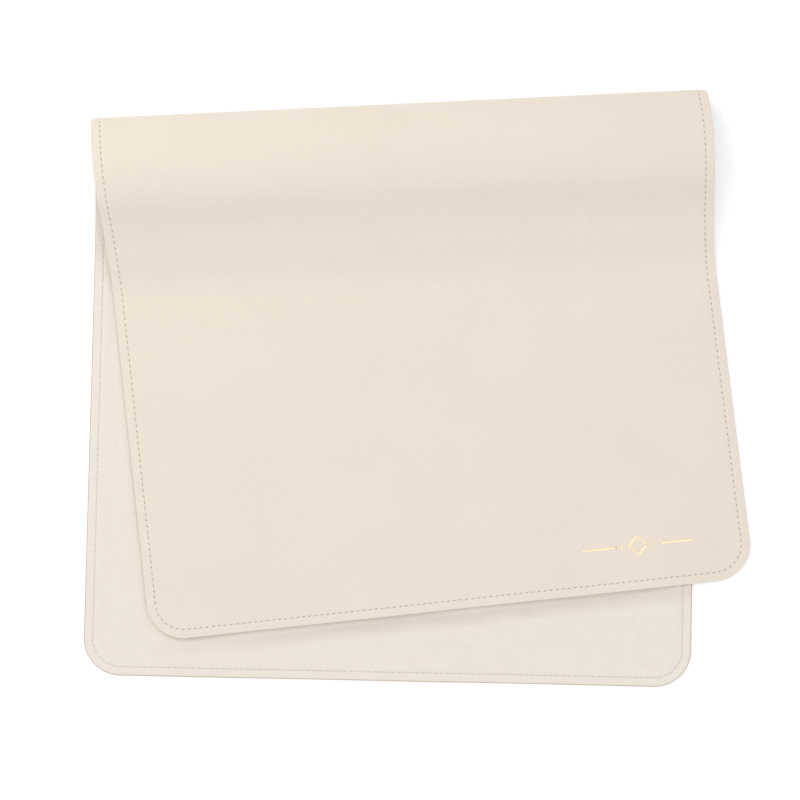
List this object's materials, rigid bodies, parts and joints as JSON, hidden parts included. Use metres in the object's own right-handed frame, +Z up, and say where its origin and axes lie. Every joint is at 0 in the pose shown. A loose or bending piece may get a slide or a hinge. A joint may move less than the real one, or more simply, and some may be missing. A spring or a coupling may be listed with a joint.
{
  "type": "changing pad",
  "caption": "Thin rectangular changing pad with rounded corners, leather-look face, suede backing and edge topstitching, folded once in a soft loop.",
  "frame": {"origin": "bottom centre of the folded pad's box, on the surface it lies on", "axes": "+Z up; +X along the lower half's width, to the right seen from the free edges; +Y from the lower half's free edge to the fold"},
  "size_m": [0.444, 0.3994, 0.0294],
  "materials": {
    "leather": "cream pebbled leather-look face, satin",
    "suede": "off-white micro-suede, matt and softly fuzzy",
    "needle_thread": "cream polyester sewing thread, tone on tone",
    "bobbin_thread": "off-white polyester sewing thread, tone on tone",
    "foil": "bright gold hot-stamping foil"
  },
  "bodies": {
    "lower_half": {"face_leather_lower": "leather", "suede_lining_lower": "suede", "needle_thread_lower": "needle_thread", "bobbin_thread_lower": "bobbin_thread"},
    "fold_strip_01": {"face_leather_fold_01": "leather", "suede_lining_fold_01": "suede", "needle_thread_fold_01": "needle_thread", "bobbin_thread_fold_01": "bobbin_thread"},
    "fold_strip_02": {"face_leather_fold_02": "leather", "suede_lining_fold_02": "suede", "needle_thread_fold_02": "needle_thread", "bobbin_thread_fold_02": "bobbin_thread"},
    "fold_strip_03": {"face_leather_fold_03": "leather", "suede_lining_fold_03": "suede", "needle_thread_fold_03": "needle_thread", "bobbin_thread_fold_03": "bobbin_thread"},
    "fold_strip_04": {"face_leather_fold_04": "leather", "suede_lining_fold_04": "suede", "needle_thread_fold_04": "needle_thread", "bobbin_thread_fold_04": "bobbin_thread"},
    "fold_strip_05": {"face_leather_fold_05": "leather", "suede_lining_fold_05": "suede", "needle_thread_fold_05": "needle_thread", "bobbin_thread_fold_05": "bobbin_thread"},
    "fold_strip_06": {"face_leather_fold_06": "leather", "suede_lining_fold_06": "suede", "needle_thread_fold_06": "needle_thread", "bobbin_thread_fold_06": "bobbin_thread"},
    "fold_strip_07": {"face_leather_fold_07": "leather", "suede_lining_fold_07": "suede", "needle_thread_fold_07": "needle_thread", "bobbin_thread_fold_07": "bobbin_thread"},
    "fold_strip_08": {"face_leather_fold_08": "leather", "suede_lining_fold_08": "suede", "needle_thread_fold_08": "needle_thread", "bobbin_thread_fold_08": "bobbin_thread"},
    "fold_strip_09": {"face_leather_fold_09": "leather", "suede_lining_fold_09": "suede", "needle_thread_fold_09": "needle_thread", "bobbin_thread_fold_09": "bobbin_thread"},
    "fold_strip_10": {"face_leather_fold_10": "leather", "suede_lining_fold_10": "suede", "needle_thread_fold_10": "needle_thread", "bobbin_thread_fold_10": "bobbin_thread"},
    "fold_strip_11": {"face_leather_fold_11": "leather", "suede_lining_fold_11": "suede", "needle_thread_fold_11": "needle_thread", "bobbin_thread_fold_11": "bobbin_thread"},
    "upper_half": {"face_leather_upper": "leather", "suede_lining_upper": "suede", "needle_thread_upper": "needle_thread", "bobbin_thread_upper": "bobbin_thread", "foil_mark": "foil"}
  },
  "joints": [
    {"name": "unfold", "type": "hinge", "parent": "lower_half", "child": "upper_half", "pos_m": [0, 0.1986, 0.00207], "axis": [-0.9982, -0.0602, 0], "range_deg": [0, 180]},
    {"name": "unfold_line_01", "type": "hinge", "parent": "lower_half", "child": "fold_strip_01", "pos_m": [-0.01904, 0.17926, 0], "axis": [-0.9982, -0.0602, 0], "range_deg": [0, 30]},
    {"name": "unfold_line_02", "type": "hinge", "parent": "fold_strip_01", "child": "fold_strip_02", "pos_m": [-0.01936, 0.18444, 0.003], "axis": [-0.9982, -0.0602, 0], "range_deg": [0, 30]},
    {"name": "unfold_line_03", "type": "hinge", "parent": "fold_strip_02", "child": "fold_strip_03", "pos_m": [-0.01954, 0.18744, 0.0082], "axis": [-0.9982, -0.0602, 0], "range_deg": [0, 30]},
    {"name": "unfold_line_04", "type": "hinge", "parent": "fold_strip_03", "child": "fold_strip_04", "pos_m": [-0.01954, 0.18744, 0.0142], "axis": [-0.9982, -0.0602, 0], "range_deg": [0, 30]},
    {"name": "unfold_line_05", "type": "hinge", "parent": "fold_strip_04", "child": "fold_strip_05", "pos_m": [-0.01936, 0.18444, 0.01939], "axis": [-0.9982, -0.0602, 0], "range_deg": [0, 30]},
    {"name": "unfold_line_12", "type": "hinge", "parent": "upper_half", "child": "fold_strip_11", "pos_m": [-0.01247, 0.07028, 0.00224], "axis": [-0.9982, -0.0602, 0], "range_deg": [0, 11]},
    {"name": "unfold_line_11", "type": "hinge", "parent": "fold_strip_11", "child": "fold_strip_10", "pos_m": [-0.01322, 0.08263, 0.00464], "axis": [-0.9982, -0.0602, 0], "range_deg": [0, 11]},
    {"name": "unfold_line_10", "type": "hinge", "parent": "fold_strip_10", "child": "fold_strip_09", "pos_m": [-0.01622, 0.13245, 0.02686], "axis": [0.9982, 0.0602, 0], "range_deg": [0, 10.4]},
    {"name": "unfold_line_09", "type": "hinge", "parent": "fold_strip_09", "child": "fold_strip_08", "pos_m": [-0.01689, 0.1436, 0.02915], "axis": [0.9982, 0.0602, 0], "range_deg": [0, 10.4]},
    {"name": "unfold_line_08", "type": "hinge", "parent": "fold_strip_08", "child": "fold_strip_07", "pos_m": [-0.01758, 0.15497, 0.02939], "axis": [0.9982, 0.0602, 0], "range_deg": [0, 10.4]},
    {"name": "unfold_line_07", "type": "hinge", "parent": "fold_strip_07", "child": "fold_strip_06", "pos_m": [-0.01826, 0.1662, 0.02757], "axis": [0.9982, 0.0602, 0], "range_deg": [0, 10.4]}
  ],
  "couplings": [
    {"joint": "unfold_line_01", "follows": "unfold", "ratio": 0.16666},
    {"joint": "unfold_line_02", "follows": "unfold", "ratio": 0.16666},
    {"joint": "unfold_line_03", "follows": "unfold", "ratio": 0.16666},
    {"joint": "unfold_line_04", "follows": "unfold", "ratio": 0.16666},
    {"joint": "unfold_line_05", "follows": "unfold", "ratio": 0.16666},
    {"joint": "unfold_line_12", "follows": "unfold", "ratio": 0.06111},
    {"joint": "unfold_line_11", "follows": "unfold", "ratio": 0.06111},
    {"joint": "unfold_line_10", "follows": "unfold", "ratio": 0.05777},
    {"joint": "unfold_line_09", "follows": "unfold", "ratio": 0.05777},
    {"joint": "unfold_line_08", "follows": "unfold", "ratio": 0.05777},
    {"joint": "unfold_line_07", "follows": "unfold", "ratio": 0.05777}
  ]
}
